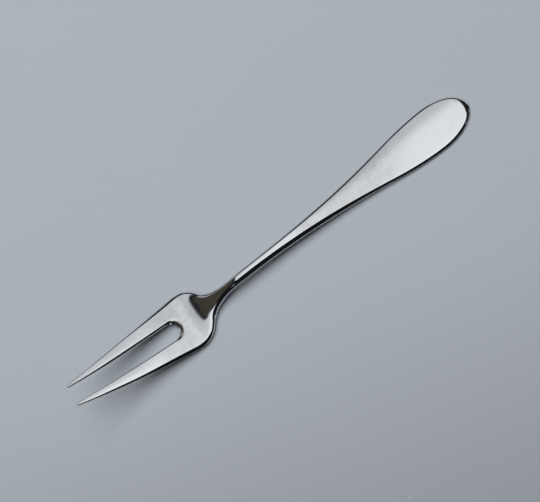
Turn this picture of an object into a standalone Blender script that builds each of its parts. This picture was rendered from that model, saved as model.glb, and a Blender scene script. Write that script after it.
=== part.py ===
"""A two-tined serving fork, forged in one piece and lying on its back.

Lengths are metres, +Z is up. The fork lies along X with its tines towards -X and its handle towards +X. It
is the same on both sides of the XZ plane, and the surface it lies on is z = 0. The origin is in the middle
of its length.

Half of the fork is built as a sheet for the top, a sheet for the underside and a rim between them, and a
Mirror modifier makes the whole. The rim falls from the top ever steeper, then it is an upright wall, and
it is rounded underneath.
"""

import math

import bmesh
import bpy
from mathutils import Vector

# Lengths along the fork, from the tips to the end of the handle
SLOT_LENGTH = 0.0507
SLOT_TO_ROOT = 0.0019
ROOT_TO_WIDEST = 0.0020
SHOULDER_LENGTH = 0.0098
HEEL_LENGTH = 0.0056
NECK_LENGTH = 0.0170
GRIP_LENGTH = 0.0380
SHANK_LENGTH = 0.0350
FLARE_LENGTH = 0.0232
END_LENGTH = 0.0172
TIP_ROUNDING = 0.0010

# Widths across the fork, seen from above
TIP_SPREAD = 0.0102
SLOT_MOUTH_WIDTH = 0.0084
SLOT_ROOT_WIDTH = 0.0084
HEAD_WIDTH_AT_ROOT = 0.0261
HEAD_WIDTH = 0.0265
SHOULDER_WIDTH = 0.0169
HEEL_WIDTH = 0.00754
NECK_WIDTH = 0.0044
SHANK_WIDTH = 0.0159
HANDLE_WIDTH = 0.0206

# How fast the half width grows along the fork where the outline is neither widest nor narrowest
TINE_FLARE = 0.190
SLOT_FLARE = -0.042
ROOT_FLARE = 0.125
SHOULDER_FLARE = -1.30
HEEL_FLARE = -0.38
SHANK_FLARE = 0.180

# Heights of the underside above the surface, and how fast the tines rise along the fork
TIP_LIFT = 0.0132
ROOT_LIFT = 0.0009
CREST_LIFT = 0.0029
TIP_RISE = -0.300
ROOT_RISE = -0.170
# The flat under the heel ends at the shoulder, and the arch is highest this far behind it
HEEL_LAND_LENGTH = 0.0055
SHOULDER_TO_CREST = 0.0202
# The flat under the handle begins this far ahead of its widest place
HANDLE_LAND_LENGTH = 0.0332

# Thickness of the metal along its middle
TIP_THICKNESS = 0.0015
ROOT_THICKNESS = 0.0022
CREST_THICKNESS = 0.0030
HANDLE_THICKNESS = 0.00215
END_THICKNESS = 0.0016
# The top of the neck is a straight ramp between these two bends
HEEL_BEND_LENGTH = 0.0047
CREST_BEND_LENGTH = 0.0035
# The top of the handle is nearly level from this far ahead of its widest place
HANDLE_TOP_LENGTH = 0.0182
HANDLE_TAPER = -0.020

# The sides of the ramp start to rise this much later than its middle, more and more towards the outline
SIDE_LAG = 0.0045
LAG_POWER = 4
LAG_LENGTH = 0.0136
# How much higher the middle of the top stands than its sides
TIP_CROWN = 0.0001
HEAD_CROWN = 0.0002
NECK_CROWN = 0.0001
GRIP_CROWN = 0.0002
HANDLE_CROWN = 0.0005
# How much higher the middle of each tine stands than its own sides
TINE_CROWN = 0.00012

# How far in from the outline the edges of the top begin to fall
TIP_EDGE = 0.00042
TINE_EDGE = 0.00075
HEAD_EDGE = 0.0019
SHOULDER_EDGE = 0.0012
HEEL_EDGE = 0.0014
NECK_EDGE = 0.00175
GRIP_EDGE = 0.00165
SHANK_EDGE = 0.00125
HANDLE_EDGE = 0.0012
HANDLE_END_EDGE = 0.0022
SLOT_END_EDGE = 0.0029
# The most of a tine's or the neck's breadth that one edge may take
TINE_SHARE = 0.44
NECK_SHARE = 0.88
# How steep the edges get before the upright wall begins
TINE_SLOPE = 1.48
HEAD_SLOPE = 0.95
NECK_SLOPE = 1.48
HANDLE_SLOPE = 0.86
TIP_SLOPE = 1.25
SLOT_END_SLOPE = 0.62
HANDLE_END_SLOPE = 1.0
# In degrees: from here on the edge of the slot's round end is full, and that of the handle's end grows
SLOT_EDGE_TURN = 60.0
HANDLE_EDGE_TURN = 50.0
# The shares of the wall that the upper edge may take and the lower edge takes
UPPER_SHARE = 0.58
LOWER_SHARE = 0.40

# Rows of faces along each stretch, faces across each half and faces down each edge
TINE_ROWS = 16
FAN_ROWS = 6
LAND_ROWS = 7
HEEL_ROWS = 5
NECK_ROWS = 10
SHANK_ROWS = 18
FLARE_ROWS = 7
END_ROWS = 7
ACROSS = 6
EDGE_FACES = 3
# The tip of a tine and the end of the handle close with a row of their own, between these turns in degrees
TIP_ROW_TURN = 25.0
END_ROW_TURN = 52.0
# A turn that runs right round half of an outline's end
QUARTER_TURN = 90.0
HALF_TURN = 180.0
# Half the step used to find which way an outline runs, in metres or degrees along it
PLACE_STEP = 0.00001
TURN_STEP = 0.1
# How far in from an edge the slope of the top is felt for
PROBE = 0.00002
# Points nearer than this to the middle plane lie on it
MERGE_DISTANCE = 0.000001
# Places in plan that agree to this many digits are one point
PLAN_DIGITS = 7
# Faces that meet at more than this many degrees keep a crisp edge between them
SHARP_ANGLE = 35.0

STEEL_COLOUR = (0.80, 0.80, 0.79, 1.0)
STEEL_ROUGHNESS = 0.12

# Places along the fork, measured from the tips
AT_ROOT = SLOT_LENGTH + SLOT_TO_ROOT
AT_WIDEST = AT_ROOT + ROOT_TO_WIDEST
AT_SHOULDER = AT_WIDEST + SHOULDER_LENGTH
AT_HEEL = AT_SHOULDER + HEEL_LENGTH
AT_NECK = AT_HEEL + NECK_LENGTH
AT_GRIP = AT_NECK + GRIP_LENGTH
AT_SHANK = AT_GRIP + SHANK_LENGTH
AT_HANDLE = AT_SHANK + FLARE_LENGTH
AT_END = AT_HANDLE + END_LENGTH

HEEL_FRONT = AT_SHOULDER - HEEL_LAND_LENGTH
RAMP_START = HEEL_FRONT + HEEL_BEND_LENGTH
AT_CREST = AT_SHOULDER + SHOULDER_TO_CREST
RAMP_END = AT_CREST - CREST_BEND_LENGTH
LAG_END = AT_SHOULDER + LAG_LENGTH
HANDLE_LAND_FRONT = AT_HANDLE - HANDLE_LAND_LENGTH
HANDLE_TOP_FRONT = AT_HANDLE - HANDLE_TOP_LENGTH

SLOT_RADIUS = SLOT_ROOT_WIDTH / 2
AT_SLOT_CENTRE = SLOT_LENGTH - SLOT_RADIUS
MID_TINE = AT_SLOT_CENTRE / 2

# Heights of the top: each bend climbs half of what its steep end would climb over the same length
TIP_HEIGHT = TIP_LIFT + TIP_THICKNESS
ROOT_HEIGHT = ROOT_LIFT + ROOT_THICKNESS
HEAD_HEIGHT = ROOT_HEIGHT + ROOT_RISE * (HEEL_FRONT - AT_ROOT) / 2
CREST_HEIGHT = CREST_LIFT + CREST_THICKNESS
NECK_RISE = (CREST_HEIGHT - HEAD_HEIGHT) / ((RAMP_END + AT_CREST - HEEL_FRONT - RAMP_START) / 2)
RAMP_START_HEIGHT = HEAD_HEIGHT + NECK_RISE * HEEL_BEND_LENGTH / 2
RAMP_END_HEIGHT = CREST_HEIGHT - NECK_RISE * CREST_BEND_LENGTH / 2


def smooth_through(stations, at):
    """The value at one place on a smooth line through stations of (place, value, slope)."""
    if at <= stations[0][0]:
        return stations[0][1]
    for (x0, v0, s0), (x1, v1, s1) in zip(stations, stations[1:]):
        if at <= x1:
            span = x1 - x0
            t = (at - x0) / span
            level = v0 + (v1 - v0) * t * t * (3 - 2 * t)
            return level + span * t * (1 - t) * (s0 * (1 - t) - s1 * t)
    return stations[-1][1]


def half_width(at):
    """Half the width of the fork, up to the widest place of its handle."""
    return smooth_through([
        (0, TIP_SPREAD / 2, TINE_FLARE),
        (AT_ROOT, HEAD_WIDTH_AT_ROOT / 2, ROOT_FLARE),
        (AT_WIDEST, HEAD_WIDTH / 2, 0),
        (AT_SHOULDER, SHOULDER_WIDTH / 2, SHOULDER_FLARE),
        (AT_HEEL, HEEL_WIDTH / 2, HEEL_FLARE),
        (AT_NECK, NECK_WIDTH / 2, 0),
        (AT_SHANK, SHANK_WIDTH / 2, SHANK_FLARE),
        (AT_HANDLE, HANDLE_WIDTH / 2, 0),
    ], at)


def slot_half_width(at):
    """Half the width of the slot along its sides, up to its round end."""
    return smooth_through([
        (0, SLOT_MOUTH_WIDTH / 2, SLOT_FLARE),
        (AT_SLOT_CENTRE, SLOT_RADIUS, 0),
    ], at)


def underside(at):
    """Height of the underside: raised tines, a flat heel, an arched neck and a flat handle."""
    return smooth_through([
        (0, TIP_LIFT, TIP_RISE),
        (AT_ROOT, ROOT_LIFT, ROOT_RISE),
        (HEEL_FRONT, 0, 0),
        (AT_SHOULDER, 0, 0),
        (AT_CREST, CREST_LIFT, 0),
        (HANDLE_LAND_FRONT, 0, 0),
    ], at)


def spine(at):
    """Height of the top along its middle: falling tines, a level head, a ramp to the crest, a long fall."""
    return smooth_through([
        (0, TIP_HEIGHT, TIP_RISE),
        (AT_ROOT, ROOT_HEIGHT, ROOT_RISE),
        (HEEL_FRONT, HEAD_HEIGHT, 0),
        (RAMP_START, RAMP_START_HEIGHT, NECK_RISE),
        (RAMP_END, RAMP_END_HEIGHT, NECK_RISE),
        (AT_CREST, CREST_HEIGHT, 0),
        (HANDLE_TOP_FRONT, HANDLE_THICKNESS, HANDLE_TAPER),
        (AT_END, END_THICKNESS, HANDLE_TAPER),
    ], at)


def crown(at):
    """How far the sides of the top lie below its middle."""
    return smooth_through([
        (0, TIP_CROWN, 0),
        (AT_ROOT, HEAD_CROWN, 0),
        (AT_HEEL, HEAD_CROWN, 0),
        (AT_NECK, NECK_CROWN, 0),
        (AT_GRIP, GRIP_CROWN, 0),
        (AT_HANDLE, HANDLE_CROWN, 0),
    ], at)


def tine_crown(at):
    """How far the sides of a tine lie below its own middle."""
    return smooth_through([(0, 0, 0), (MID_TINE, TINE_CROWN, 0), (SLOT_LENGTH, 0, 0)], at)


def top_side(at, aside):
    """Height of the top at a place along the fork and at a distance from its middle."""
    width = half_width(at)
    fullness = min(1.0, aside / width)
    along = at
    if at > HEEL_FRONT:
        lag = smooth_through([(AT_SHOULDER, SIDE_LAG, 0), (LAG_END, 0, 0)], at)
        along = max(HEEL_FRONT, at - lag * fullness ** LAG_POWER)
    height = spine(along) - crown(at) * fullness ** 2
    if at < SLOT_LENGTH:
        slot = slot_half_width(at)
        off_middle = (2 * aside - width - slot) / (width - slot)
        height -= tine_crown(at) * min(1.0, off_middle ** 2)
    return height


def edge_room(at):
    """The most that one edge may take of the breadth of the metal."""
    if at < AT_SLOT_CENTRE:
        return TINE_SHARE * (half_width(at) - slot_half_width(at))
    return NECK_SHARE * half_width(at)


def outer_edge(at):
    """How far in the edge of the outer side begins to fall."""
    wanted = smooth_through([
        (0, TIP_EDGE, 0),
        (MID_TINE, TINE_EDGE, 0),
        (AT_ROOT, HEAD_EDGE, 0),
        (AT_SHOULDER, SHOULDER_EDGE, 0),
        (AT_HEEL, HEEL_EDGE, 0),
        (AT_NECK, NECK_EDGE, 0),
        (AT_GRIP, GRIP_EDGE, 0),
        (AT_SHANK, SHANK_EDGE, 0),
        (AT_HANDLE, HANDLE_EDGE, 0),
    ], at)
    return min(wanted, edge_room(at))


def outer_slope(at):
    """How steep the edge of the outer side gets."""
    return smooth_through([
        (MID_TINE, TINE_SLOPE, 0),
        (AT_WIDEST, HEAD_SLOPE, 0),
        (AT_SHOULDER, HEAD_SLOPE, 0),
        (AT_NECK, NECK_SLOPE, 0),
        (AT_SHANK, HANDLE_SLOPE, 0),
    ], at)


def slot_side_edge(at):
    """How far in the edge of the slot's side begins to fall."""
    wanted = smooth_through([(0, TIP_EDGE, 0), (MID_TINE, TINE_EDGE, 0)], at)
    return min(wanted, edge_room(at))


def slot_side_slope(at):
    """How steep the edge of the slot's side gets, the same all along."""
    return TINE_SLOPE


def slot_end_edge(degrees):
    """How far in the edge of the slot's round end begins to fall."""
    return smooth_through([(0, TINE_EDGE, 0), (SLOT_EDGE_TURN, SLOT_END_EDGE, 0)], degrees)


def slot_end_slope(degrees):
    """How steep the edge of the slot's round end gets."""
    return smooth_through([(0, TINE_SLOPE, 0), (SLOT_EDGE_TURN, SLOT_END_SLOPE, 0)], degrees)


def tip_edge(degrees):
    """How far in the edge of a tip begins to fall, the same all round it."""
    return min(TIP_EDGE, edge_room(TIP_ROUNDING))


def tip_slope(degrees):
    """How steep the edge of a tip gets, the same all round it."""
    return TIP_SLOPE


def handle_end_edge(degrees):
    """How far in the edge of the handle's end begins to fall."""
    return smooth_through([(HANDLE_EDGE_TURN, HANDLE_EDGE, 0), (QUARTER_TURN, HANDLE_END_EDGE, 0)], degrees)


def handle_end_slope(degrees):
    """How steep the edge of the handle's end gets."""
    return smooth_through([(0, HANDLE_SLOPE, 0), (QUARTER_TURN, HANDLE_END_SLOPE, 0)], degrees)


def slot_side(at):
    """A point on the side of the slot."""
    return Vector((at, slot_half_width(at)))


def slot_end(degrees):
    """A point on the round end of the slot, 0 at its side and 90 in the middle."""
    turn = math.radians(degrees)
    return Vector((AT_SLOT_CENTRE + SLOT_RADIUS * math.sin(turn), SLOT_RADIUS * math.cos(turn)))


def tine_tip(degrees):
    """A point round the tip of a tine, 0 at its inner side and 180 at its outer side."""
    turn = math.radians(degrees)
    inner = slot_half_width(TIP_ROUNDING)
    outer = half_width(TIP_ROUNDING)
    middle = (inner + outer) / 2
    return Vector((TIP_ROUNDING * (1 - math.sin(turn)), middle - (outer - inner) / 2 * math.cos(turn)))


def outer_side(at):
    """A point on the outer side of the fork."""
    return Vector((at, half_width(at)))


def handle_end(degrees):
    """A point round the end of the handle, 0 at its widest place and 90 in the middle."""
    turn = math.radians(degrees)
    return Vector((AT_HANDLE + END_LENGTH * math.sin(turn), HANDLE_WIDTH / 2 * math.cos(turn)))


def settled(place):
    """A place in plan, put on the middle plane when it is next to it."""
    if abs(place.y) < MERGE_DISTANCE:
        place.y = 0
    return place


class RimPoint:
    """A point of the outline: where it is, which way is out, and the shape of its upper and lower edge."""

    def __init__(self, outline, out, breadth, slope):
        self.out = out
        self.breadth = breadth
        self.outline = outline
        self.inset = settled(outline - out * breadth)
        self.top = top_side(self.inset.x, self.inset.y)
        self.bottom = underside(self.inset.x)
        inner = self.inset - out * PROBE
        self.lean = (top_side(inner.x, abs(inner.y)) - self.top) / PROBE
        wall = self.top - self.lean * breadth - self.bottom
        self.upper_depth = min(UPPER_SHARE * wall, breadth * slope / 2)
        self.lower_depth = LOWER_SHARE * wall

    def point(self, share, height):
        """A point of the rim, 0 where it leaves the sheets and 1 at the outline."""
        place = settled(self.inset + self.out * self.breadth * share)
        return Vector((place.x, place.y, height))

    def profile(self):
        """The points down the rim between the top sheet and the bottom sheet."""
        upper = []
        lower = []
        for share in steps_between(0, 1, EDGE_FACES):
            fall = self.lean * self.breadth * share + self.upper_depth * share ** 2
            upper.append(self.point(share, self.top - fall))
            turn = math.radians(QUARTER_TURN * share)
            climb = self.lower_depth * (1 - math.cos(turn))
            lower.append(self.point(math.sin(turn), self.bottom + climb))
        return upper + lower[::-1]


def rim_points(side, edge, slope, places, step):
    """The rim points of one stretch of the outline, with a negative step where it runs backwards."""
    points = []
    for place in places:
        along = side(place + step) - side(place - step)
        out = Vector((-along.y, along.x)).normalized()
        points.append(RimPoint(side(place), out, edge(place), slope(place)))
    return points


def steps_between(start, stop, count):
    """Evenly spaced places after start, up to and including stop."""
    return [start + (stop - start) * step / count for step in range(1, count + 1)]


def outline_runs():
    """The half outline as runs of rim points: slot side, slot end, tip, outer side and handle end."""
    tine_places = [TIP_ROUNDING] + steps_between(TIP_ROUNDING, AT_SLOT_CENTRE, TINE_ROWS)
    fan_turns = steps_between(0, QUARTER_TURN, FAN_ROWS + ACROSS)
    tip_turns = [TIP_ROW_TURN] + steps_between(TIP_ROW_TURN, HALF_TURN - TIP_ROW_TURN, ACROSS)
    outer_places = tine_places + steps_between(AT_SLOT_CENTRE, AT_WIDEST, FAN_ROWS)
    outer_places += steps_between(AT_WIDEST, AT_SHOULDER, LAND_ROWS)
    outer_places += steps_between(AT_SHOULDER, AT_HEEL, HEEL_ROWS)
    outer_places += steps_between(AT_HEEL, AT_NECK, NECK_ROWS)
    outer_places += steps_between(AT_NECK, HANDLE_TOP_FRONT, SHANK_ROWS)
    outer_places += steps_between(HANDLE_TOP_FRONT, AT_HANDLE, FLARE_ROWS)
    end_turns = steps_between(0, END_ROW_TURN, END_ROWS)
    end_turns += steps_between(END_ROW_TURN, QUARTER_TURN, ACROSS)
    return {
        "slot_side": rim_points(slot_side, slot_side_edge, slot_side_slope, tine_places, -PLACE_STEP),
        "slot_end": rim_points(slot_end, slot_end_edge, slot_end_slope, fan_turns, -TURN_STEP),
        "tip": rim_points(tine_tip, tip_edge, tip_slope, tip_turns, TURN_STEP),
        "outer": rim_points(outer_side, outer_edge, outer_slope, outer_places, PLACE_STEP),
        "end": rim_points(handle_end, handle_end_edge, handle_end_slope, end_turns, TURN_STEP),
    }


def row_between(inner, outer):
    """Evenly spaced points of one row, from its inner to its outer end."""
    return [inner] + [inner.lerp(outer, share) for share in steps_between(0, 1, ACROSS)]


def sheet_rows(runs):
    """The rows of the half sheet in plan: those round the slot, and those from there to the handle's end."""
    slot, fan, outer = runs["slot_side"], runs["slot_end"], runs["outer"]
    last_turn = END_ROWS - 1
    round_slot = [[point.inset for point in runs["tip"]]]
    for inner, edge in zip(slot + fan[:FAN_ROWS], outer):
        round_slot.append(row_between(inner.inset, edge.inset))

    along_body = []
    for edge in outer[len(slot) + FAN_ROWS - 1:] + runs["end"][:last_turn]:
        along_body.append(row_between(Vector((edge.outline.x, 0)), edge.inset))
    along_body.append([point.inset for point in reversed(runs["end"][last_turn:])])

    first_body_row = along_body[0]
    for inner, target in zip(fan[FAN_ROWS:], reversed(first_body_row[:-1])):
        round_slot.append(row_between(inner.inset, target))
    return round_slot, along_body


def rim_chain(runs):
    """The rim points in one line, from the end of the slot round the tip to the end of the handle."""
    return runs["slot_end"][::-1] + runs["slot_side"][::-1] + runs["tip"] + runs["outer"] + runs["end"]


class Sheet:
    """The points of the top or of the underside, made once for each place in plan."""

    def __init__(self, mesh, height):
        self.mesh = mesh
        self.height = height
        self.made = {}

    def point(self, place):
        """The mesh point over or under a place in plan."""
        key = place.to_tuple(PLAN_DIGITS)
        if key not in self.made:
            self.made[key] = self.mesh.verts.new((place.x, place.y, self.height(place.x, place.y)))
        return self.made[key]


def skin(mesh, rows):
    """Faces between each row of points and the next."""
    for row, following in zip(rows, rows[1:]):
        for corners in zip(row, row[1:], following[1:], following):
            mesh.faces.new(corners)


def fork_half():
    """Half of the fork as an open mesh, from the middle plane to one side."""
    runs = outline_runs()
    chain = rim_chain(runs)
    mesh = bmesh.new()
    top = Sheet(mesh, top_side)
    bottom = Sheet(mesh, lambda at, aside: underside(at))
    for rows in sheet_rows(runs):
        skin(mesh, [[top.point(place) for place in reversed(row)] for row in rows])
        skin(mesh, [[bottom.point(place) for place in row] for row in rows])
    profiles = [point.profile() for point in chain]
    rim = [[top.point(point.inset) for point in chain]]
    rim += [[mesh.verts.new(place) for place in level] for level in zip(*profiles)]
    rim += [[bottom.point(point.inset) for point in chain]]
    skin(mesh, rim)
    return mesh


def polished_steel():
    """Bright polished metal."""
    material = bpy.data.materials.new("polished_steel")
    material.use_nodes = True
    shader = material.node_tree.nodes["Principled BSDF"]
    shader.inputs["Base Color"].default_value = STEEL_COLOUR
    shader.inputs["Metallic"].default_value = 1.0
    shader.inputs["Roughness"].default_value = STEEL_ROUGHNESS
    return material


def fork():
    """The whole fork, with its origin in the middle of its length."""
    data = bpy.data.meshes.new("fork")
    half = fork_half()
    half.to_mesh(data)
    half.free()
    data.shade_smooth()
    data.set_sharp_from_angle(angle=math.radians(SHARP_ANGLE))
    data.materials.append(polished_steel())
    whole = bpy.data.objects.new("fork", data)
    whole.location.x = -AT_END / 2
    bpy.context.collection.objects.link(whole)
    mirror = whole.modifiers.new("other_side", "MIRROR")
    mirror.use_axis = (False, True, False)
    mirror.merge_threshold = MERGE_DISTANCE
    return whole


def main():
    """Empty the scene and make the fork."""
    for old in list(bpy.data.objects):
        bpy.data.objects.remove(old, do_unlink=True)
    fork()


main()
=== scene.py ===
"""A two-tined serving fork of polished metal, lying on a pale table top.

The fork is one forging, so it is one piece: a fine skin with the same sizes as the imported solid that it
stands for. Lengths are metres and +Z is up. The fork lies along X with its tines towards -X and its handle
towards +X, it is the same on both sides of the XZ plane, and the table top is z = 0.
"""

import logging
import math
from dataclasses import dataclass
from enum import Enum
from typing import Callable, Sequence

import bmesh
import bpy
from mathutils import Matrix, Vector


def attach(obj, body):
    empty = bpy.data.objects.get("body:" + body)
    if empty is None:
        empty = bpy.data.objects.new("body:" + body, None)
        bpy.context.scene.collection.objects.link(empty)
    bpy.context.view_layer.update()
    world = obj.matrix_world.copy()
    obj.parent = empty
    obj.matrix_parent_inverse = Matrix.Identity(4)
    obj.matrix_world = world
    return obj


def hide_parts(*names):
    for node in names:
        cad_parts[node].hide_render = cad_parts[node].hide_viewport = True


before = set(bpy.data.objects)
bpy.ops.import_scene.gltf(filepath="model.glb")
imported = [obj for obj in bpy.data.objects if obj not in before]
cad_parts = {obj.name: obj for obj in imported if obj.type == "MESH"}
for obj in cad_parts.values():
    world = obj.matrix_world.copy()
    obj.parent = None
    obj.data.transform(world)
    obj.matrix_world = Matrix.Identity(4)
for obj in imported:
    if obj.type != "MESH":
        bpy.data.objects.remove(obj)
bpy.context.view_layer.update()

# Turns in degrees
QUARTER_TURN = 90
HALF_TURN = 180

Colour = tuple[float, float, float]
Triple = tuple[float, float, float]
Span = tuple[float, float]
PlanRow = list[Vector]
Socket = bpy.types.NodeSocket

log = logging.getLogger("serving_fork")


class Sheet(Enum):
    """The two broad faces of the forging."""

    TOP = "top"
    UNDERSIDE = "underside"


class Run(Enum):
    """The stretches of half the outline, from the end of the slot round the tip to the end of the handle."""

    SLOT_END = "slot_end"
    SLOT_SIDE = "slot_side"
    TIP = "tip"
    OUTER = "outer"
    HANDLE_END = "handle_end"


@dataclass(frozen=True)
class StationLine:
    """A smooth line along the fork through stations of (place, value, slope)."""

    stations: tuple[Triple, ...]

    def at(self, place: float) -> float:
        """The value at one place.

        Args:
            place: Distance from the tips.

        Returns:
            The value there, held level beyond the first and last station.
        """
        if place <= self.stations[0][0]:
            return self.stations[0][1]
        for (x0, v0, s0), (x1, v1, s1) in zip(self.stations, self.stations[1:]):
            if place <= x1:
                span = x1 - x0
                t = (place - x0) / span
                level = v0 + (v1 - v0) * t * t * (3 - 2 * t)
                return level + span * t * (1 - t) * (s0 * (1 - t) - s1 * t)
        return self.stations[-1][1]


@dataclass
class Forging:
    """Sizes of the forging, and the lines and heights that follow from them.

    Places along the fork are measured from the tips.
    """

    # Places along the fork
    tip_rounding: float = 0.0010
    at_slot: float = 0.0507
    at_root: float = 0.0526
    at_widest: float = 0.0546
    heel_front: float = 0.0589
    rise_start: float = 0.0636
    at_shoulder: float = 0.0644
    at_heel: float = 0.0700
    crest_front: float = 0.0811
    at_crest: float = 0.0846
    at_neck: float = 0.0870
    at_grip: float = 0.1250
    handle_land: float = 0.1500
    at_shank: float = 0.1600
    handle_front: float = 0.1650
    at_handle: float = 0.1832
    at_end: float = 0.2004

    # Widths across the fork
    tip_spread: float = 0.0102
    slot_mouth_width: float = 0.0084
    slot_root_width: float = 0.0084
    head_width_at_root: float = 0.0261
    head_width: float = 0.0265
    shoulder_width: float = 0.0169
    heel_width: float = 0.00754
    neck_width: float = 0.0044
    shank_width: float = 0.0159
    handle_width: float = 0.0206

    # How fast the half width grows along the fork
    tine_flare: float = 0.190
    slot_flare: float = -0.042
    root_flare: float = 0.125
    shoulder_flare: float = -1.30
    heel_flare: float = -0.38
    shank_flare: float = 0.180

    # Heights of the underside and of the middle of the top
    tip_lift: float = 0.0132
    root_lift: float = 0.0009
    crest_lift: float = 0.0029
    tip_rise: float = -0.300
    root_rise: float = -0.170
    tip_height: float = 0.01465
    root_height: float = 0.0031
    crest_height: float = 0.0059
    handle_front_height: float = 0.00215
    end_height: float = 0.0016
    handle_taper: float = -0.020

    # The sides of the neck's root start to rise this much later than its middle
    side_lag: float = 0.0045
    lag_power: float = 4.0
    lag_end: float = 0.0780
    # How much higher the middle of the top stands than its sides
    tip_crown: float = 0.0001
    head_crown: float = 0.0002
    neck_crown: float = 0.0001
    grip_crown: float = 0.0002
    handle_crown: float = 0.0005
    # How much higher the middle of each tine stands than its own sides
    tine_crown: float = 0.00012

    # How far in from the outline the edges begin to fall
    tip_edge: float = 0.00042
    tine_edge: float = 0.00075
    head_edge: float = 0.0019
    shoulder_edge: float = 0.0012
    heel_edge: float = 0.0014
    neck_edge: float = 0.00175
    grip_edge: float = 0.00165
    shank_edge: float = 0.00125
    handle_edge: float = 0.0012
    end_edge: float = 0.0022
    slot_edge: float = 0.00075
    slot_end_edge: float = 0.0029
    # The most of a tine's or the neck's breadth that one edge may take
    tine_share: float = 0.44
    neck_share: float = 0.88
    # How steep the edges get before the upright wall begins
    tine_slope: float = 1.48
    head_slope: float = 0.95
    neck_slope: float = 1.48
    handle_slope: float = 0.86
    tip_slope: float = 1.25
    slot_end_slope: float = 0.62
    handle_end_slope: float = 1.0
    # The turns where the slot end's edge is full and where the handle end's edge starts to broaden
    slot_end_turn: float = 60.0
    handle_end_turn: float = 50.0
    # The shares of the wall that the upper edge may take and the lower edge takes
    upper_share: float = 0.58
    lower_share: float = 0.40

    def __post_init__(self) -> None:
        """Make the lines along the fork."""
        self.slot_radius = self.slot_root_width / 2
        self.slot_centre = self.at_slot - self.slot_radius
        self.width_line = StationLine((
            (0, self.tip_spread / 2, self.tine_flare),
            (self.at_root, self.head_width_at_root / 2, self.root_flare),
            (self.at_widest, self.head_width / 2, 0),
            (self.at_shoulder, self.shoulder_width / 2, self.shoulder_flare),
            (self.at_heel, self.heel_width / 2, self.heel_flare),
            (self.at_neck, self.neck_width / 2, 0),
            (self.at_shank, self.shank_width / 2, self.shank_flare),
            (self.at_handle, self.handle_width / 2, 0),
        ))
        self.slot_line = StationLine((
            (0, self.slot_mouth_width / 2, self.slot_flare),
            (self.slot_centre, self.slot_radius, 0),
        ))
        self.underside_line = StationLine((
            (0, self.tip_lift, self.tip_rise),
            (self.at_root, self.root_lift, self.root_rise),
            (self.heel_front, 0, 0),
            (self.at_shoulder, 0, 0),
            (self.at_crest, self.crest_lift, 0),
            (self.handle_land, 0, 0),
        ))
        # Each bend climbs half of what its steep end would climb over the same length
        head_height = self.root_height + self.root_rise * (self.heel_front - self.at_root) / 2
        ramp_length = (self.crest_front + self.at_crest - self.heel_front - self.rise_start) / 2
        neck_rise = (self.crest_height - head_height) / ramp_length
        rise_start_height = head_height + neck_rise * (self.rise_start - self.heel_front) / 2
        crest_front_height = self.crest_height - neck_rise * (self.at_crest - self.crest_front) / 2
        self.spine_line = StationLine((
            (0, self.tip_height, self.tip_rise),
            (self.at_root, self.root_height, self.root_rise),
            (self.heel_front, head_height, 0),
            (self.rise_start, rise_start_height, neck_rise),
            (self.crest_front, crest_front_height, neck_rise),
            (self.at_crest, self.crest_height, 0),
            (self.handle_front, self.handle_front_height, self.handle_taper),
            (self.at_end, self.end_height, self.handle_taper),
        ))
        self.lag_line = StationLine((
            (self.at_shoulder, self.side_lag, 0),
            (self.lag_end, 0, 0),
        ))
        self.crown_line = StationLine((
            (0, self.tip_crown, 0),
            (self.at_root, self.head_crown, 0),
            (self.at_heel, self.head_crown, 0),
            (self.at_neck, self.neck_crown, 0),
            (self.at_grip, self.grip_crown, 0),
            (self.at_handle, self.handle_crown, 0),
        ))
        self.tine_crown_line = StationLine((
            (0, 0, 0),
            (self.slot_centre / 2, self.tine_crown, 0),
            (self.at_slot, 0, 0),
        ))
        self.outer_edge_line = StationLine((
            (0, self.tip_edge, 0),
            (self.slot_centre / 2, self.tine_edge, 0),
            (self.at_root, self.head_edge, 0),
            (self.at_shoulder, self.shoulder_edge, 0),
            (self.at_heel, self.heel_edge, 0),
            (self.at_neck, self.neck_edge, 0),
            (self.at_grip, self.grip_edge, 0),
            (self.at_shank, self.shank_edge, 0),
            (self.at_handle, self.handle_edge, 0),
        ))
        self.outer_slope_line = StationLine((
            (self.slot_centre / 2, self.tine_slope, 0),
            (self.at_widest, self.head_slope, 0),
            (self.at_shoulder, self.head_slope, 0),
            (self.at_neck, self.neck_slope, 0),
            (self.at_shank, self.handle_slope, 0),
        ))
        self.slot_edge_line = StationLine((
            (0, self.tip_edge, 0),
            (self.slot_centre / 2, self.slot_edge, 0),
        ))
        # Along the round ends the place is a turn in degrees
        self.slot_end_edge_line = StationLine((
            (0, self.slot_edge, 0),
            (self.slot_end_turn, self.slot_end_edge, 0),
        ))
        self.slot_end_slope_line = StationLine((
            (0, self.tine_slope, 0),
            (self.slot_end_turn, self.slot_end_slope, 0),
        ))
        self.handle_end_edge_line = StationLine((
            (self.handle_end_turn, self.handle_edge, 0),
            (QUARTER_TURN, self.end_edge, 0),
        ))
        self.handle_end_slope_line = StationLine((
            (0, self.handle_slope, 0),
            (QUARTER_TURN, self.handle_end_slope, 0),
        ))
        # A line of one station stays level
        tip_edge = min(self.tip_edge, self.edge_room(self.tip_rounding))
        self.tip_edge_line = StationLine(((0, tip_edge, 0),))
        self.tip_slope_line = StationLine(((0, self.tip_slope, 0),))
        self.slot_slope_line = StationLine(((0, self.tine_slope, 0),))

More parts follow.
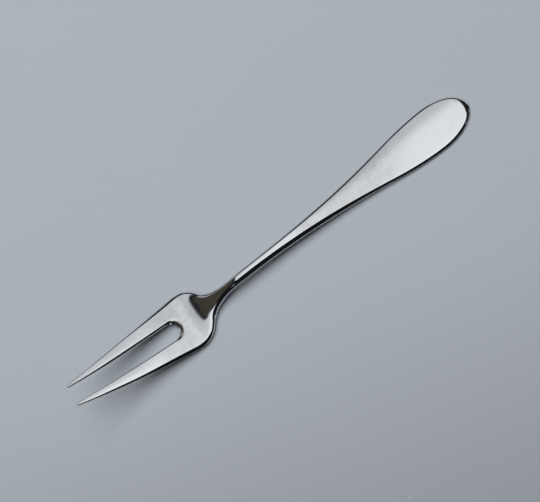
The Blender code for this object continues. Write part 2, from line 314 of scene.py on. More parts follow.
    def top(self, at: float, aside: float) -> float:
        """Height of the top side.

        Args:
            at: Distance from the tips.
            aside: Distance from the middle plane.

        Returns:
            The height above the table top.
        """
        width = self.width_line.at(at)
        share = min(1.0, aside / width)
        reach = at
        if at > self.heel_front:
            reach = max(self.heel_front, at - self.lag_line.at(at) * share ** self.lag_power)
        height = self.spine_line.at(reach) - self.crown_line.at(at) * share ** 2
        if at < self.at_slot:
            slot = self.slot_line.at(at)
            off_tine = (2 * aside - width - slot) / (width - slot)
            height -= self.tine_crown_line.at(at) * min(1.0, off_tine ** 2)
        return height

    def underside(self, at: float, aside: float) -> float:
        """Height of the underside, which is level across the fork."""
        return self.underside_line.at(at)

    def edge_room(self, at: float) -> float:
        """The most that one edge may take of the breadth of the metal.

        Args:
            at: Distance from the tips.

        Returns:
            The greatest breadth of an edge there.
        """
        width = self.width_line.at(at)
        if at < self.slot_centre:
            return self.tine_share * (width - self.slot_line.at(at))
        return self.neck_share * width

    def outer_edge(self, at: float) -> float:
        """How far in the outer edge begins to fall."""
        return min(self.outer_edge_line.at(at), self.edge_room(at))

    def slot_side_edge(self, at: float) -> float:
        """How far in the edge of the slot's side begins to fall."""
        return min(self.slot_edge_line.at(at), self.edge_room(at))

    def slot_side(self, at: float) -> Vector:
        """A point on the side of the slot."""
        return Vector((at, self.slot_line.at(at)))

    def slot_end(self, degrees: float) -> Vector:
        """A point on the round end of the slot."""
        return self.round_end(self.slot_centre, self.slot_radius, self.slot_radius, degrees)

    def tine_tip(self, degrees: float) -> Vector:
        """A point round the tip of a tine.

        Args:
            degrees: The turn, 0 at the tine's inner side and 180 at its outer side.

        Returns:
            The point in plan.
        """
        turn = math.radians(degrees)
        inner = self.slot_line.at(self.tip_rounding)
        outer = self.width_line.at(self.tip_rounding)
        across = (inner + outer) / 2 - (outer - inner) / 2 * math.cos(turn)
        return Vector((self.tip_rounding * (1 - math.sin(turn)), across))

    def outer_side(self, at: float) -> Vector:
        """A point on the outer side of the fork."""
        return Vector((at, self.width_line.at(at)))

    def handle_end(self, degrees: float) -> Vector:
        """A point round the end of the handle."""
        return self.round_end(self.at_handle, self.at_end - self.at_handle, self.handle_width / 2, degrees)

    def round_end(self, start: float, length: float, breadth: float, degrees: float) -> Vector:
        """A point on a quarter of an oval.

        Args:
            start: Where the oval is widest.
            length: How far it goes on from there.
            breadth: Half its width.
            degrees: The turn, 0 at the widest place and 90 in the middle.

        Returns:
            The point in plan.
        """
        turn = math.radians(degrees)
        return Vector((start + length * math.sin(turn), breadth * math.cos(turn)))


@dataclass
class RimPoint:
    """A point of the outline, with the way out from it and the shape of its two edges."""

    forging: Forging
    outline: Vector
    out: Vector
    breadth: float
    slope: float

    # The step inwards that shows how the top slopes at the edge
    PROBE = 0.00002
    # Places this near the middle plane count as on it
    ON_PLANE = 0.000001

    def __post_init__(self) -> None:
        """Find where the edges begin, and the heights there."""
        self.inset = self.settle(self.outline - self.out * self.breadth)
        self.top = self.forging.top(self.inset.x, abs(self.inset.y))
        self.bottom = self.forging.underside(self.inset.x, abs(self.inset.y))
        inner = self.inset - self.out * self.PROBE
        self.lean = (self.forging.top(inner.x, abs(inner.y)) - self.top) / self.PROBE
        wall = self.top - self.lean * self.breadth - self.bottom
        self.upper_depth = min(self.forging.upper_share * wall, self.breadth * self.slope / 2)
        self.lower_depth = self.forging.lower_share * wall

    def settle(self, place: Vector) -> Vector:
        """Put a place that is next to the middle plane on it."""
        return Vector((place.x, 0)) if abs(place.y) < self.ON_PLANE else place

    def profile(self, steps: int) -> list[Vector]:
        """The points down the rim: the upper edge falls ever steeper, then the wall is upright.

        Args:
            steps: Faces down the upper edge and round the lower one.

        Returns:
            Points from just below the top sheet to just above the underside.
        """
        upper, lower = [], []
        for step in range(1, steps + 1):
            share = step / steps
            place = self.settle(self.inset + self.out * self.breadth * share)
            height = self.top - self.lean * self.breadth * share - self.upper_depth * share ** 2
            upper.append(Vector((place.x, place.y, height)))
            turn = math.pi / 2 * share
            place = self.settle(self.inset + self.out * self.breadth * math.sin(turn))
            lower.append(Vector((place.x, place.y, self.bottom + self.lower_depth * (1 - math.cos(turn)))))
        return upper + lower[::-1]


class NodeBoard:
    """Lays out and joins the shader nodes of one material or world."""

    def __init__(self, tree: bpy.types.NodeTree, coordinates: str) -> None:
        """Keep the tree that the nodes go into, and the output that gives each place."""
        self.tree = tree
        self.place = self.node("ShaderNodeTexCoord").outputs[coordinates]

    def node(self, kind: str, **settings: object) -> bpy.types.Node:
        """Add a node and set its properties.

        Args:
            kind: The type of node.
            settings: Its properties by name.

        Returns:
            The node.
        """
        made = self.tree.nodes.new(kind)
        for name, value in settings.items():
            setattr(made, name, value)
        return made

    def feed(self, socket: Socket, source: object) -> None:
        """Give a socket a value, or join it to another node's output.

        Args:
            socket: The input to fill.
            source: A value or an output.
        """
        if isinstance(source, Socket):
            self.tree.links.new(source, socket)
        else:
            socket.default_value = source

    def math(self, operation: str, first: object, second: object = 0.0) -> Socket:
        """The result of one sum on two numbers.

        Args:
            operation: The kind of sum.
            first: A value or an output.
            second: A value or an output.

        Returns:
            The result.
        """
        made = self.node("ShaderNodeMath", operation=operation)
        self.feed(made.inputs[0], first)
        self.feed(made.inputs[1], second)
        return made.outputs[0]

    def span(self, value: object, low: float, high: float, start: float = 0.0, stop: float = 1.0) -> Socket:
        """Ease a number from one span to another.

        Args:
            value: The number, as a value or an output.
            low: Where the easing starts.
            high: Where the easing ends.
            start: The result at low and below.
            stop: The result at high and above.

        Returns:
            The eased number.
        """
        made = self.node("ShaderNodeMapRange", interpolation_type="SMOOTHSTEP")
        self.feed(made.inputs["Value"], value)
        for name, number in zip(("From Min", "From Max", "To Min", "To Max"), (low, high, start, stop)):
            made.inputs[name].default_value = number
        return made.outputs["Result"]

    def blend(self, share: object, first: object, second: object) -> Socket:
        """Mix two colours.

        Args:
            share: How much of the second there is, from 0 to 1.
            first: A colour or an output.
            second: A colour or an output.

        Returns:
            The mixed colour.
        """
        made = self.node("ShaderNodeMix", data_type="RGBA")
        self.feed(made.inputs["Factor"], share)
        self.feed(made.inputs["A"], first)
        self.feed(made.inputs["B"], second)
        return made.outputs["Result"]

    def stretch(self, vector: object, scale: Triple, turn: float) -> Socket:
        """Turn coordinates about Z and scale them along each axis.

        Args:
            vector: The coordinates.
            scale: The factor along each axis.
            turn: The turn in radians.

        Returns:
            The new coordinates.
        """
        turned = self.node("ShaderNodeMapping", vector_type="TEXTURE")
        self.feed(turned.inputs["Vector"], vector)
        turned.inputs["Rotation"].default_value = (0, 0, turn)
        made = self.node("ShaderNodeVectorMath", operation="MULTIPLY")
        self.feed(made.inputs[0], turned.outputs[0])
        made.inputs[1].default_value = scale
        return made.outputs[0]

    def noise(self, vector: object, scale: float, detail: float, distortion: float = 0.0) -> Socket:
        """A cloudy pattern.

        Args:
            vector: The coordinates.
            scale: How fine the clouds are.
            detail: How many finer layers they have.
            distortion: How much they are twisted.

        Returns:
            Numbers from 0 to 1.
        """
        made = self.node("ShaderNodeTexNoise")
        self.feed(made.inputs["Vector"], vector)
        made.inputs["Scale"].default_value = scale
        made.inputs["Detail"].default_value = detail
        made.inputs["Distortion"].default_value = distortion
        return made.outputs["Fac"]

    def cells(self, scale: float) -> bpy.types.Node:
        """Scattered points.

        Args:
            scale: How close together the points lie.

        Returns:
            The node, which gives the distance to the nearest point and a colour for each.
        """
        made = self.node("ShaderNodeTexVoronoi")
        self.feed(made.inputs["Vector"], self.place)
        made.inputs["Scale"].default_value = scale
        return made

    def bump(self, height: object, distance: float, under: object = None) -> Socket:
        """Tilt the normal by a height pattern.

        Args:
            height: The pattern.
            distance: The height of a full step.
            under: The normal to start from, or None for the mesh's own.

        Returns:
            The tilted normal.
        """
        made = self.node("ShaderNodeBump")
        self.feed(made.inputs["Height"], height)
        made.inputs["Distance"].default_value = distance
        if under is not None:
            self.feed(made.inputs["Normal"], under)
        return made.outputs["Normal"]


def add_object(name: str, data: bpy.types.ID) -> bpy.types.Object:
    """Put an object with its data into the scene.

    Args:
        name: The object's name.
        data: Its mesh, lamp or camera.

    Returns:
        The object.
    """
    made = bpy.data.objects.new(name, data)
    bpy.context.scene.collection.objects.link(made)
    return made


def rgba(colour: Colour) -> tuple[float, float, float, float]:
    """A colour with full opacity."""
    return (*colour, 1.0)


@dataclass(frozen=True)
class PolishedSteel:
    """Mirror-polished metal with the marks of use.

    It has a mottled film with faint stains, dried water rings, hairline scratches and an uneven polish. On
    the head and the grip the film is thickened as painted shade, which dims the mirrored light there.
    """

    clean: Colour = (0.82, 0.825, 0.83)
    filmed_and_shaded: Colour = (0.62, 0.625, 0.62)
    mirror_roughness: float = 0.05
    film_roughness: float = 0.115
    # The film is thickest on the head and where fingers hold the handle, between these places along X; there
    # it is also painted shade that dims the mirrored light
    head_film_and_shade: Span = (-0.066, -0.036)
    grip_film_and_shade: Span = (0.010, 0.078)
    thin_film: float = 0.30
    # It comes and goes over one of this many parts of each stretch
    fade_parts: float = 3.0
    # The share of the film that lies evenly, without patches
    haze: float = 0.50
    # Its soft patches, drawn out a little along one way
    patch_stretch: Triple = (0.6, 1.0, 1.0)
    patch_turn: float = 0.25
    patch_scale: float = 95.0
    patch_detail: float = 3.0
    patch_twist: float = 0.8
    patch_span: Span = (0.36, 0.68)
    # The fine mottle in the patches
    mottle_scale: float = 330.0
    mottle_detail: float = 4.0
    mottle_span: Span = (0.30, 0.72)
    mottle_least: float = 0.35
    # Soft smudges that darken the polish on the head and the grip, partly film and partly painted shade, as
    # (x, y, reach), their height, and the share of the reach that is full
    smudges_and_shade: tuple[Triple, ...] = (
        (-0.0440, 0.0010, 0.015),
        (0.020, -0.0040, 0.011),
    )
    smudge_height: float = 0.003
    smudge_core: float = 0.2
    # Faint brownish stains in the film
    stain: Colour = (0.60, 0.568, 0.515)
    stain_scale: float = 230.0
    stain_detail: float = 4.0
    stain_twist: float = 1.2
    stain_span: Span = (0.52, 0.66)
    stain_share: float = 0.75
    # Rings of dried water, in the cells whose number is over the share
    ring_scale: float = 62.0
    ring_radius: float = 0.085
    ring_width: float = 0.018
    ring_strength: float = 0.6
    ring_share: float = 0.84
    # Hairlines along the fork, and fewer of them askew
    along_stretch: Triple = (60.0, 2600.0, 900.0)
    along_turn: float = 0.04
    askew_stretch: Triple = (110.0, 3100.0, 900.0)
    askew_turn: float = 0.9
    askew_share: float = 0.5
    scratch_detail: float = 2.0
    scratch_depth: float = 0.0000012
    # The slow waves of an uneven polish
    wave_scale: float = 85.0
    wave_detail: float = 1.0
    wave_depth: float = 0.00001

    def material(self) -> bpy.types.Material:
        """Make the finish.

        Returns:
            The material with its nodes.
        """
        made = bpy.data.materials.new("polished_steel")
        made.use_nodes = True
        board = NodeBoard(made.node_tree, "Object")
        shader = made.node_tree.nodes["Principled BSDF"]
        film = self.film(board)
        marks = board.math("MAXIMUM", film, self.rings(board))
        shader.inputs["Metallic"].default_value = 1.0
        # The filmed colour is real film, and painted shade where the film is thickened on the head and the
        # grip
        colour = board.blend(marks, rgba(self.clean), rgba(self.filmed_and_shaded))
        colour = board.blend(self.stains(board, film), colour, rgba(self.stain))
        board.feed(shader.inputs["Base Color"], colour)
        roughness = board.span(marks, 0.0, 1.0, self.mirror_roughness, self.film_roughness)
        board.feed(shader.inputs["Roughness"], roughness)
        waves = board.noise(board.place, self.wave_scale, self.wave_detail)
        uneven = board.bump(waves, self.wave_depth)
        board.feed(shader.inputs["Normal"], board.bump(self.scratches(board), self.scratch_depth, uneven))
        return made

    def film(self, board: NodeBoard) -> Socket:
        """A thin film in soft patches with a fine mottle in them, thickened on the head and the grip as
        painted shade.

        Args:
            board: Where the nodes go.

        Returns:
            How much film there is, from 0 to 1, with painted shade where it is thickened on the head and the
            grip.
        """
        split = board.node("ShaderNodeSeparateXYZ")
        board.feed(split.inputs[0], board.place)
        film_and_shade = self.thin_film
        # Painted shade: the film is thickened on the head and the grip, which dims the mirrored light there
        for start, stop in (self.head_film_and_shade, self.grip_film_and_shade):
            fade = (stop - start) / self.fade_parts
            comes = board.span(split.outputs["X"], start, start + fade)
            goes = board.span(split.outputs["X"], stop - fade, stop, 1.0, self.thin_film)
            film_and_shade = board.math("MAXIMUM", film_and_shade, board.math("MULTIPLY", comes, goes))
        drawn = board.stretch(board.place, self.patch_stretch, self.patch_turn)
        patches = board.noise(drawn, self.patch_scale, self.patch_detail, self.patch_twist)
        patches = board.span(patches, *self.patch_span)
        mottle = board.noise(board.place, self.mottle_scale, self.mottle_detail)
        mottle = board.span(mottle, *self.mottle_span, self.mottle_least, 1.0)
        # Painted shade as well as film: soft spots of thicker film on the head and the grip
        for x, y, reach in self.smudges_and_shade:
            away = board.node("ShaderNodeVectorMath", operation="DISTANCE")
            board.feed(away.inputs[0], board.place)
            away.inputs[1].default_value = (x, y, self.smudge_height)
            smudge_and_shade = board.span(away.outputs["Value"], self.smudge_core * reach, reach, 1.0, 0.0)
            patches = board.math("MAXIMUM", patches, smudge_and_shade)
            film_and_shade = board.math("MAXIMUM", film_and_shade, smudge_and_shade)
        uneven = board.math("MULTIPLY", board.math("MULTIPLY", patches, mottle), 1 - self.haze)
        return board.math("MULTIPLY", film_and_shade, board.math("ADD", uneven, self.haze))

    def stains(self, board: NodeBoard, film: Socket) -> Socket:
        """Small faint stains where the film is thick.

        Args:
            board: Where the nodes go.
            film: How much film there is.

        Returns:
            How much of a stain there is, from 0 to 1.
        """
        spots = board.noise(board.place, self.stain_scale, self.stain_detail, self.stain_twist)
        spots = board.span(spots, *self.stain_span, 0.0, self.stain_share)
        return board.math("MULTIPLY", spots, board.math("MULTIPLY", film, film))

    def rings(self, board: NodeBoard) -> Socket:
        """Thin rings left by a few drops of water.

        Args:
            board: Where the nodes go.

        Returns:
            How much of a ring there is, from 0 to 1.
        """
        cells = board.cells(self.ring_scale)
        off = board.math("ABSOLUTE", board.math("SUBTRACT", cells.outputs["Distance"], self.ring_radius))
        line = board.span(off, 0.0, self.ring_width, self.ring_strength, 0.0)
        pick = board.node("ShaderNodeSeparateColor")
        board.feed(pick.inputs[0], cells.outputs["Color"])
        chosen = board.math("GREATER_THAN", pick.outputs["Red"], self.ring_share)
        return board.math("MULTIPLY", line, chosen)

    def scratches(self, board: NodeBoard) -> Socket:
        """Hairlines from wiping, most of them along the fork.

        Args:
            board: Where the nodes go.

        Returns:
            The height pattern of the hairlines.
        """
        along = board.stretch(board.place, self.along_stretch, self.along_turn)
        along = board.noise(along, 1.0, self.scratch_detail)
        askew = board.stretch(board.place, self.askew_stretch, self.askew_turn)
        askew = board.noise(askew, 1.0, self.scratch_detail)
        return board.math("ADD", along, board.math("MULTIPLY", askew, self.askew_share))


@dataclass(frozen=True)
class PaleLaminate:
    """The pale blue-grey table top, with painted shade that darkens it towards -Y, the camera's side.

    It has faint clouds, a fine grain, tiny specks and faint hairlines.
    """

    ground: Colour = (0.407, 0.445, 0.482)
    cloud: Colour = (0.391, 0.429, 0.465)
    painted_shade: Colour = (0.291, 0.313, 0.338)
    light_speck: Colour = (0.50, 0.53, 0.56)
    dark_speck: Colour = (0.27, 0.30, 0.33)
    hairline: Colour = (0.36, 0.39, 0.42)
    roughness: float = 0.55
    specular: float = 0.2
    cloud_scale: float = 14.0
    cloud_detail: float = 4.0
    grain_scale: float = 1900.0
    fine_detail: float = 2.0
    grain_span: Span = (0.35, 0.75)
    grain_share: float = 0.22
    streak_stretch: Triple = (9.0, 1500.0, 1.0)
    streak_turn: float = 1.25
    streak_span: Span = (0.66, 0.80)
    streak_share: float = 0.35
    # Specks lie in the cells whose number is over the share
    speck_scale: float = 330.0
    speck_radius: float = 0.16
    speck_share: float = 0.93
    # Which way the painted shade darkens the top, and how far off it starts and is full
    shade_way: Triple = (-0.309, -0.951, 0.0)
    shade_span: Span = (0.0, 0.16)

    def material(self) -> bpy.types.Material:
        """Make the finish.

        Returns:
            The material with its nodes.
        """
        made = bpy.data.materials.new("pale_laminate")
        made.use_nodes = True
        board = NodeBoard(made.node_tree, "Object")
        shader = made.node_tree.nodes["Principled BSDF"]
        clouds = board.noise(board.place, self.cloud_scale, self.cloud_detail)
        colour = board.blend(clouds, rgba(self.ground), rgba(self.cloud))
        # Painted shade: the top is darkened towards -Y, where less light falls
        towards = board.node("ShaderNodeVectorMath", operation="DOT_PRODUCT")
        board.feed(towards.inputs[0], board.place)
        towards.inputs[1].default_value = self.shade_way
        shade_share = board.span(towards.outputs["Value"], *self.shade_span)
        colour = board.blend(shade_share, colour, rgba(self.painted_shade))
        board.feed(shader.inputs["Base Color"], self.specks(board, colour))
        shader.inputs["Roughness"].default_value = self.roughness
        shader.inputs["Specular IOR Level"].default_value = self.specular
        return made

    def specks(self, board: NodeBoard, colour: Socket) -> Socket:
        """Put the grain, the specks and the hairlines on the ground colour.

        Args:
            board: Where the nodes go.
            colour: The ground colour.

        Returns:
            The colour with its fine marks.
        """
        grain = board.noise(board.place, self.grain_scale, self.fine_detail)
        grain = board.span(grain, *self.grain_span, 0.0, self.grain_share)
        colour = board.blend(grain, colour, rgba(self.hairline))
        streaks = board.stretch(board.place, self.streak_stretch, self.streak_turn)
        streaks = board.noise(streaks, 1.0, self.fine_detail)
        streaks = board.span(streaks, *self.streak_span, 0.0, self.streak_share)
        colour = board.blend(streaks, colour, rgba(self.hairline))
        cells = board.cells(self.speck_scale)
        dot = board.span(cells.outputs["Distance"], 0.0, self.speck_radius, 1.0, 0.0)
        pick = board.node("ShaderNodeSeparateColor")
        board.feed(pick.inputs[0], cells.outputs["Color"])
        for channel, speck in (("Red", self.light_speck), ("Green", self.dark_speck)):
            chosen = board.math("GREATER_THAN", pick.outputs[channel], self.speck_share)
            colour = board.blend(board.math("MULTIPLY", dot, chosen), colour, rgba(speck))
        return colour


@dataclass
class Fork:
    """The forged fork: its skin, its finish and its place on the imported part."""

    forging: Forging
    finish: PolishedSteel

    # Rows of faces along each stretch, faces across each half and faces round each edge
    tine_rows: int = 64
    fan_rows: int = 16
    heel_land_rows: int = 12
    shoulder_rows: int = 14
    neck_rows: int = 36
    shank_rows: int = 70
    flare_rows: int = 34
    end_rows: int = 26
    across: int = 14
    edge_steps: int = 7
    # The tip of a tine and the end of the handle close with a row of their own, from these turns on
    tip_row_turn: float = 25.0
    end_row_turn: float = 52.0
    # Faces that meet at more than this many degrees keep a crisp edge between them
    sharp_angle: float = 27.0

    # Half the step used to find which way an outline runs, in metres or degrees along it
    EDGE_STEP = 0.00001
    TURN_STEP = 0.1
    # Places in plan that agree to this many digits are one point
    PLAN_DIGITS = 7

    def build(self) -> bpy.types.Object:
        """Build the fork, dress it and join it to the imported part.

        Returns:
            The fork's object.
        """
        data = bpy.data.meshes.new("fork_skin")
        skin = self.half_skin()
        geometry = skin.verts[:] + skin.edges[:] + skin.faces[:]
        bmesh.ops.mirror(skin, geom=geometry, axis="Y", merge_dist=RimPoint.ON_PLANE)
        bmesh.ops.recalc_face_normals(skin, faces=skin.faces[:])
        skin.transform(Matrix.Translation((-self.forging.at_end / 2, 0, 0)))
        skin.to_mesh(data)
        skin.free()
        data.shade_smooth()
        data.set_sharp_from_angle(angle=math.radians(self.sharp_angle))
        data.materials.append(self.finish.material())
        piece = add_object("fork_skin", data)
        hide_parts("fork")
        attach(piece, "root")
        return piece

    def steps(self, start: float, stop: float, count: int) -> list[float]:
        """Evenly spaced places after start, up to and including stop."""
        return [start + (stop - start) * step / count for step in range(1, count + 1)]

    def rim(self, side: Callable[[float], Vector], edge: Callable[[float], float],
            slope: Callable[[float], float], places: Sequence[float], step: float) -> list[RimPoint]:
        """Make the rim points of one stretch of the outline.

        Args:
            side: Gives the point of the outline at a place.
            edge: Gives the breadth of the upper edge at a place.
            slope: Gives how steep the upper edge gets at a place.
            places: Where the points go.
            step: Half the step that shows which way the outline runs, negative where it runs backwards.

        Returns:
            The rim points in order.
        """
        points = []
        for place in places:
            along = side(place + step) - side(place - step)
            out = Vector((-along.y, along.x)).normalized()
            points.append(RimPoint(self.forging, side(place), out, edge(place), slope(place)))
        return points

    def outline(self) -> dict[Run, list[RimPoint]]:
        """Make the rim points of half the outline.

        Returns:
            The rim points of each stretch.
        """
        sizes = self.forging
        tine = [sizes.tip_rounding] + self.steps(sizes.tip_rounding, sizes.slot_centre, self.tine_rows)
        outer = list(tine)
        start = sizes.slot_centre
        for stop, rows in (
            (sizes.heel_front, self.fan_rows),
            (sizes.at_shoulder, self.heel_land_rows),
            (sizes.at_heel, self.shoulder_rows),
            (sizes.at_neck, self.neck_rows),
            (sizes.handle_front, self.shank_rows),
            (sizes.at_handle, self.flare_rows),
        ):
            outer += self.steps(start, stop, rows)
            start = stop
        slot = self.steps(0, QUARTER_TURN, self.fan_rows + self.across)
        tip = [self.tip_row_turn]
        tip += self.steps(self.tip_row_turn, HALF_TURN - self.tip_row_turn, self.across)
        end = self.steps(0, self.end_row_turn, self.end_rows)
        end += self.steps(self.end_row_turn, QUARTER_TURN, self.across)
        slot_edge, slot_slope = sizes.slot_end_edge_line.at, sizes.slot_end_slope_line.at
        end_edge, end_slope = sizes.handle_end_edge_line.at, sizes.handle_end_slope_line.at
        side_edge, side_slope = sizes.slot_side_edge, sizes.slot_slope_line.at
        tip_edge, tip_slope = sizes.tip_edge_line.at, sizes.tip_slope_line.at
        outer_edge, outer_slope = sizes.outer_edge, sizes.outer_slope_line.at
        return {
            Run.SLOT_END: self.rim(sizes.slot_end, slot_edge, slot_slope, slot, -self.TURN_STEP),
            Run.SLOT_SIDE: self.rim(sizes.slot_side, side_edge, side_slope, tine, -self.EDGE_STEP),
            Run.TIP: self.rim(sizes.tine_tip, tip_edge, tip_slope, tip, self.TURN_STEP),
            Run.OUTER: self.rim(sizes.outer_side, outer_edge, outer_slope, outer, self.EDGE_STEP),
            Run.HANDLE_END: self.rim(sizes.handle_end, end_edge, end_slope, end, self.TURN_STEP),
        }

    def row(self, inner: Vector, outer: Vector) -> PlanRow:
        """Evenly spaced places of one row, from its inner to its outer end."""
        return [inner] + [inner.lerp(outer, share) for share in self.steps(0, 1, self.across)]

    def plan_rows(self, runs: dict[Run, list[RimPoint]]) -> tuple[list[PlanRow], list[PlanRow]]:
        """Lay out the rows of the half sheet in plan.

        Args:
            runs: The rim points of half the outline.

        Returns:
            The rows round the slot, and the rows from there to the end of the handle.
        """
        slot, fan, outer = runs[Run.SLOT_SIDE], runs[Run.SLOT_END], runs[Run.OUTER]
        last_turn = self.end_rows - 1
        round_slot = [[point.inset for point in runs[Run.TIP]]]
        for inner, edge in zip(slot + fan[:self.fan_rows], outer):
            round_slot.append(self.row(inner.inset, edge.inset))
        body = []
        for edge in outer[len(slot) + self.fan_rows - 1:] + runs[Run.HANDLE_END][:last_turn]:
            body.append(self.row(Vector((edge.outline.x, 0)), edge.inset))
        body.append([point.inset for point in reversed(runs[Run.HANDLE_END][last_turn:])])
        for inner, target in zip(fan[self.fan_rows:], reversed(body[0][:-1])):
            round_slot.append(self.row(inner.inset, target))
        return round_slot, body

    def half_skin(self) -> bmesh.types.BMesh:
        """Build half of the skin, from the middle plane to one side.

        Returns:
            The open mesh of the half.
        """
        runs = self.outline()
        chain = runs[Run.SLOT_END][::-1] + runs[Run.SLOT_SIDE][::-1]
        chain += runs[Run.TIP] + runs[Run.OUTER] + runs[Run.HANDLE_END]
        mesh = bmesh.new()
        made: dict[tuple[Sheet, tuple[float, ...]], bmesh.types.BMVert] = {}

        def point(sheet: Sheet, place: Vector) -> bmesh.types.BMVert:
            """The mesh point of a sheet, made once.

            Args:
                sheet: The face of the forging.
                place: The place in plan.

            Returns:
                The mesh point.
            """
            key = (sheet, place.to_tuple(self.PLAN_DIGITS))
            if key not in made:
                height = self.forging.top if sheet is Sheet.TOP else self.forging.underside
                made[key] = mesh.verts.new((place.x, place.y, height(place.x, abs(place.y))))
            return made[key]

        for rows in self.plan_rows(runs):
            self.join_rows(mesh, [[point(Sheet.TOP, place) for place in reversed(row)] for row in rows])
            self.join_rows(mesh, [[point(Sheet.UNDERSIDE, place) for place in row] for row in rows])
        profiles = [edge.profile(self.edge_steps) for edge in chain]
        rim = [[point(Sheet.TOP, edge.inset) for edge in chain]]
        rim += [[mesh.verts.new(place) for place in level] for level in zip(*profiles)]
        rim += [[point(Sheet.UNDERSIDE, edge.inset) for edge in chain]]
        self.join_rows(mesh, rim)
        return mesh

    def join_rows(self, mesh: bmesh.types.BMesh, rows: Sequence[Sequence[bmesh.types.BMVert]]) -> None:
        """Make the faces between each row of points and the next.

        Args:
            mesh: The mesh that the faces go into.
            rows: Rows with the same number of points.
        """
        for row, following in zip(rows, rows[1:]):
            for corners in zip(row, row[1:], following[1:], following):
                mesh.faces.new(corners)


@dataclass
class TableTop:
    """The plain pale surface that the fork lies on."""

    finish: PaleLaminate
    reach: float = 3.0
    squares: int = 8

    def build(self) -> bpy.types.Object:
        """Build the surface.

        Returns:
            The surface's object.
        """
        mesh = bmesh.new()
        bmesh.ops.create_grid(mesh, x_segments=self.squares, y_segments=self.squares, size=self.reach)
        data = bpy.data.meshes.new("table_top")
        mesh.to_mesh(data)
        mesh.free()
        data.materials.append(self.finish.material())
        piece = add_object("table_top", data)
        return piece


class CardTone(Enum):
    """The colours of the studio's cards."""

    SOOT = (0.008, 0.008, 0.009)
    BLACK = (0.010, 0.010, 0.011)
    COAL = (0.012, 0.012, 0.013)
    IRON = (0.012, 0.012, 0.014)
    INK = (0.012, 0.014, 0.020)
    CHARCOAL = (0.020, 0.020, 0.022)
    BROWN = (0.058, 0.051, 0.041)
    TAUPE = (0.13, 0.125, 0.115)
    GREY = (0.40, 0.41, 0.42)
    PALE = (0.74, 0.76, 0.79)
    BRIGHT = (0.895, 0.92, 0.955)


@dataclass(frozen=True)
class Card:
    """A round card of the studio, seen from the fork, with its reach and its soft edge in degrees."""

    towards: Triple
    reach: float
    softness: float
    tone: CardTone

    def hang(self, board: NodeBoard, behind: Socket) -> Socket:
        """Put the card in front of what the studio shows so far.

        Args:
            board: Where the nodes go.
            behind: The colour behind the card.

        Returns:
            The colour with the card in front.
        """
        facing = board.node("ShaderNodeVectorMath", operation="DOT_PRODUCT")
        board.feed(facing.inputs[0], board.place)
        facing.inputs[1].default_value = Vector(self.towards).normalized()
        outside = math.cos(math.radians(self.reach + self.softness))
        inside = math.cos(math.radians(max(0.0, self.reach - self.softness)))
        share = board.span(facing.outputs["Value"], outside, inside)
        return board.blend(share, behind, rgba(self.tone.value))


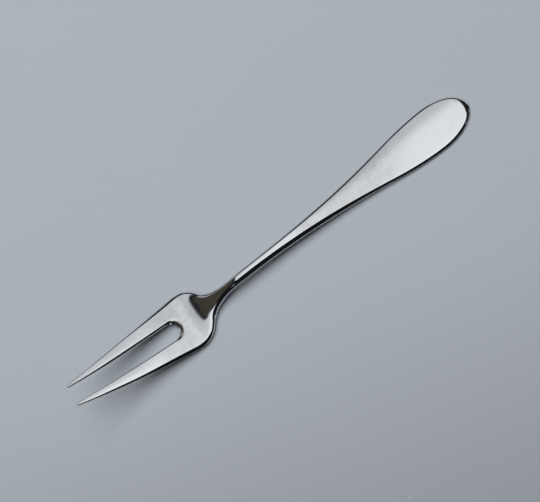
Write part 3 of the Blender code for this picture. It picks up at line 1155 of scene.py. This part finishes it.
@dataclass
class Studio:
    """Soft light: a pale room brighter overhead, round cards that the polish mirrors, and one lamp.

    Dark and brown cards draw the edges and the hollow of the neck. Low pale cards keep the sides bright.
    """

    horizon: Colour = (0.47, 0.49, 0.52)
    wall: Colour = (0.55, 0.575, 0.61)
    ceiling_edge: Colour = (0.67, 0.69, 0.72)
    overhead: Colour = (0.985, 1.0, 1.02)
    # How steeply up the tones of the room change, as the Z of a direction
    wall_span: Span = (0.15, 0.82)
    ceiling_span: Span = (0.78, 0.88)
    overhead_span: Span = (0.88, 0.96)
    horizon_span: Span = (0.27, 0.32)
    # Cards behind the pale horizon, and cards in front of it
    cards: tuple[Card, ...] = (
        Card((-0.90, -0.10, 0.42), 44.5, 0.8, CardTone.BLACK),
        Card((-0.65, 0.66, 0.40), 33.4, 0.7, CardTone.INK),
        Card((0.02, 0.94, 0.27), 33.0, 1.5, CardTone.IRON),
        Card((-0.62, 0.336, 0.713), 12.0, 0.9, CardTone.BROWN),
        Card((-0.80, 0.44, 0.42), 15.0, 3.0, CardTone.TAUPE),
        Card((-0.66, 0.20, 0.725), 15.0, 0.9, CardTone.BROWN),
        Card((-0.54, 0.65, 0.535), 12.0, 0.9, CardTone.BROWN),
        Card((-0.70, 0.68, 0.22), 24.0, 1.5, CardTone.TAUPE),
        Card((-0.435, 0.60, 0.67), 8.6, 0.9, CardTone.BROWN),
        Card((-0.30, 0.77, 0.56), 9.0, 2.5, CardTone.GREY),
        Card((-0.07, 0.40, 0.914), 5.5, 4.5, CardTone.BRIGHT),
        Card((0.72, 0.40, 0.55), 30.0, 1.5, CardTone.COAL),
        Card((0.70, -0.28, 0.62), 23.0, 2.0, CardTone.CHARCOAL),
        Card((-0.82, 0.57, 0.00), 24.0, 4.0, CardTone.PALE),
        Card((-1.00, 0.00, 0.00), 26.0, 4.0, CardTone.PALE),
        Card((-0.78, -0.62, 0.08), 32.0, 4.0, CardTone.PALE),
        Card((0.90, 0.42, -0.16), 29.0, 3.0, CardTone.PALE),
        Card((0.98, -0.20, -0.16), 25.0, 3.0, CardTone.PALE),
        Card((0.62, -0.78, 0.00), 25.0, 4.0, CardTone.PALE),
    )
    low_cards: tuple[Card, ...] = (
        Card((-0.02, -0.72, 0.69), 34.0, 2.0, CardTone.SOOT),
        Card((-0.16, -0.95, 0.26), 22.0, 2.0, CardTone.SOOT),
        Card((-0.24, 0.95, 0.14), 14.0, 1.5, CardTone.IRON),
        Card((-0.60, -0.67, 0.44), 13.0, 2.5, CardTone.PALE),
    )
    # The room as soft light on the table: dim on the camera's side, bright on the far side
    dim_side: Colour = (0.02, 0.021, 0.022)
    bright_side: Colour = (0.06, 0.062, 0.064)
    side_span: Span = (-0.7, 0.7)
    lamp_place: Triple = (0.0, 0.32, 1.10)
    lamp_size: float = 1.44
    lamp_power: float = 19.2

    def make_room(self) -> None:
        """Make the world that the polish mirrors and that lights the table."""
        world = bpy.data.worlds.new("studio")
        world.use_nodes = True
        bpy.context.scene.world = world
        board = NodeBoard(world.node_tree, "Generated")
        split = board.node("ShaderNodeSeparateXYZ")
        board.feed(split.inputs[0], board.place)
        height = split.outputs["Z"]
        colour = board.blend(board.span(height, *self.wall_span), rgba(self.horizon), rgba(self.wall))
        colour = board.blend(board.span(height, *self.ceiling_span), colour, rgba(self.ceiling_edge))
        colour = board.blend(board.span(height, *self.overhead_span), colour, rgba(self.overhead))
        for card in self.cards:
            colour = card.hang(board, colour)
        below = board.span(height, *self.horizon_span, 1.0, 0.0)
        colour = board.blend(below, colour, rgba(self.horizon))
        for card in self.low_cards:
            colour = card.hang(board, colour)
        background = world.node_tree.nodes["Background"]
        ray = board.node("ShaderNodeLightPath")
        seen = board.math("MAXIMUM", ray.outputs["Is Camera Ray"], ray.outputs["Is Glossy Ray"])
        aside = board.span(split.outputs["Y"], *self.side_span)
        soft = board.blend(aside, rgba(self.dim_side), rgba(self.bright_side))
        board.feed(background.inputs["Color"], board.blend(seen, soft, colour))

    def hang_lamp(self) -> None:
        """Hang the soft lamp, turned to the fork and not mirrored in it."""
        data = bpy.data.lights.new("soft_lamp", "AREA")
        data.size = self.lamp_size
        data.energy = self.lamp_power
        lamp = add_object("soft_lamp", data)
        lamp.location = self.lamp_place
        lamp.rotation_euler = Vector(self.lamp_place).to_track_quat("Z", "Y").to_euler()
        lamp.visible_glossy = False


@dataclass
class PhotoCamera:
    """The camera at the photograph's place."""

    place: Triple = (0.176724, -0.394217, 0.784341)
    right: Triple = (0.7687397, -0.4837965, -0.4183064)
    up: Triple = (0.6084040, 0.7548407, 0.2450717)
    lens: float = 146.667
    sensor: float = 36.0
    nearest: float = 0.01

    def build(self) -> bpy.types.Object:
        """Set up the camera.

        Returns:
            The camera's object.
        """
        data = bpy.data.cameras.new("photo_camera")
        data.sensor_fit = "HORIZONTAL"
        data.sensor_width = self.sensor
        data.lens = self.lens
        data.clip_start = self.nearest
        camera = add_object("photo_camera", data)
        right, up = Vector(self.right), Vector(self.up)
        turn = Matrix((right, up, right.cross(up))).transposed()
        camera.matrix_world = Matrix.Translation(self.place) @ turn.to_4x4()
        bpy.context.scene.camera = camera
        return camera


def main() -> None:
    """Build the camera, the fork, the table top and the light in order."""
    logging.basicConfig(level=logging.INFO, format="%(name)s: %(message)s")
    bpy.context.scene.view_settings.view_transform = "Standard"
    camera = PhotoCamera().build()
    log.info("camera %s is set up", camera.name)
    fork = Fork(Forging(), PolishedSteel()).build()
    log.info("piece %s has %d faces", fork.name, len(fork.data.polygons))
    table = TableTop(PaleLaminate()).build()
    log.info("stage %s is laid", table.name)
    studio = Studio()
    studio.make_room()
    studio.hang_lamp()


if __name__ == "__main__":
    main()
